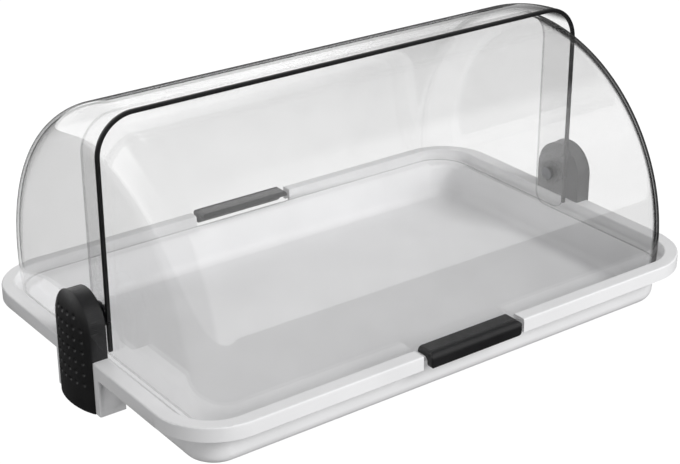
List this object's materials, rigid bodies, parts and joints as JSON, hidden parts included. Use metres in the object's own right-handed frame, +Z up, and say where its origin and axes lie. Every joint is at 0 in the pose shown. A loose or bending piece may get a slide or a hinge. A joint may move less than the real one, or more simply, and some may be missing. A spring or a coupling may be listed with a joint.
{
  "type": "countertop bread display bin",
  "caption": "Countertop bread display bin: a white moulded tray under two clear roll covers that swing open on shared end pivots.",
  "frame": {"origin": "centre of the tray's underside, where it rests on the counter", "axes": "+X along the cover pivots towards the right end, +Y towards the rear cover, +Z up"},
  "size_m": [0.4542, 0.2936, 0.2012],
  "materials": {
    "white_moulding": "satin moulded white",
    "clear_cover": "clear polished, light grey tint",
    "black_grip": "soft matte black",
    "black_strip": "matte black",
    "pin_steel": "dull turned steel",
    "black_bush": "matte black"
  },
  "bodies": {
    "tray": {"tray": "white_moulding", "right_grip_body": "black_grip", "right_grip_pad": "black_grip", "right_grip_screws": "pin_steel", "right_pivot_pin": "pin_steel", "right_spacer_bush": "black_bush", "right_slip_washer": "black_bush", "left_grip_body": "black_grip", "left_grip_pad": "black_grip", "left_grip_screws": "pin_steel", "left_pivot_pin": "pin_steel", "left_spacer_bush": "black_bush", "left_slip_washer": "black_bush"},
    "front_cover": {"front_cover": "clear_cover", "front_handle": "black_grip"},
    "rear_cover": {"rear_cover": "clear_cover", "rear_cover_seal": "black_strip", "rear_seal_ends": "black_strip", "rear_handle": "black_grip"}
  },
  "joints": [
    {"name": "front_cover_swing", "type": "hinge", "parent": "tray", "child": "front_cover", "pos_m": [0, 0, 0.0603], "axis": [-1, 0, 0], "range_deg": [0, 45]},
    {"name": "rear_cover_swing", "type": "hinge", "parent": "tray", "child": "rear_cover", "pos_m": [0, 0, 0.0603], "axis": [1, 0, 0], "range_deg": [0, 45]}
  ]
}
